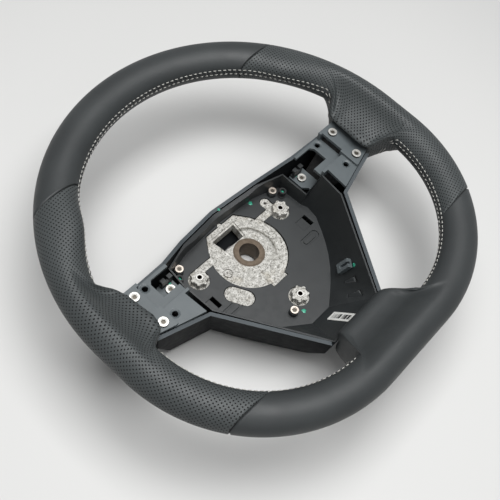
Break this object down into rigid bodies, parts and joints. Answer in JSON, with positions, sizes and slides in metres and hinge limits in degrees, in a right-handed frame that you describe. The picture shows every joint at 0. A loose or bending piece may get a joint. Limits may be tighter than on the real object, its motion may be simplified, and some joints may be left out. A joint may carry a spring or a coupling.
{
  "type": "car steering wheel",
  "caption": "Flat-bottomed three-spoke car steering wheel with leather rim, perforated side grips, cast skeleton and open hub, without airbag or trim.",
  "frame": {"origin": "centre of the column bore at the steel insert's seat, level with the cast hub face", "axes": "+Z from the column to the driver along the bore, +Y to twelve o'clock, +X to three o'clock"},
  "size_m": [0.37, 0.361, 0.1122],
  "materials": {
    "cast_alloy": "rough die cast",
    "hub_steel": "turned, browned",
    "screw_steel": "zinc plated",
    "foam": "moulded skin",
    "smooth_leather": "smooth, satin",
    "perforated_leather": "perforated, satin",
    "grey_plastic": "fine grain",
    "dark_plastic": "matt",
    "dark_steel": "blackened",
    "black_rubber": "soft",
    "label_film": "printed film"
  },
  "bodies": {
    "root": {"armature": "cast_alloy", "hub_insert": "hub_steel", "boss_sleeves": "screw_steel", "rim_foam": "foam", "leather_top": "smooth_leather", "leather_left_grip": "perforated_leather", "leather_right_grip": "perforated_leather", "leather_bottom": "smooth_leather", "rear_cover": "grey_plastic", "hub_tray": "dark_plastic", "spoke_plate_left": "grey_plastic", "spoke_plate_right": "grey_plastic", "mid_bracket_left": "grey_plastic", "mid_bracket_right": "grey_plastic", "spoke_screws": "screw_steel", "mid_screws": "screw_steel", "tray_screws": "screw_steel", "cover_screws": "dark_steel", "grommets": "black_rubber", "cable_clip_left": "grey_plastic", "cable_clip_right": "grey_plastic", "wall_clip": "grey_plastic", "tray_label": "label_film"}
  },
  "joints": []
}
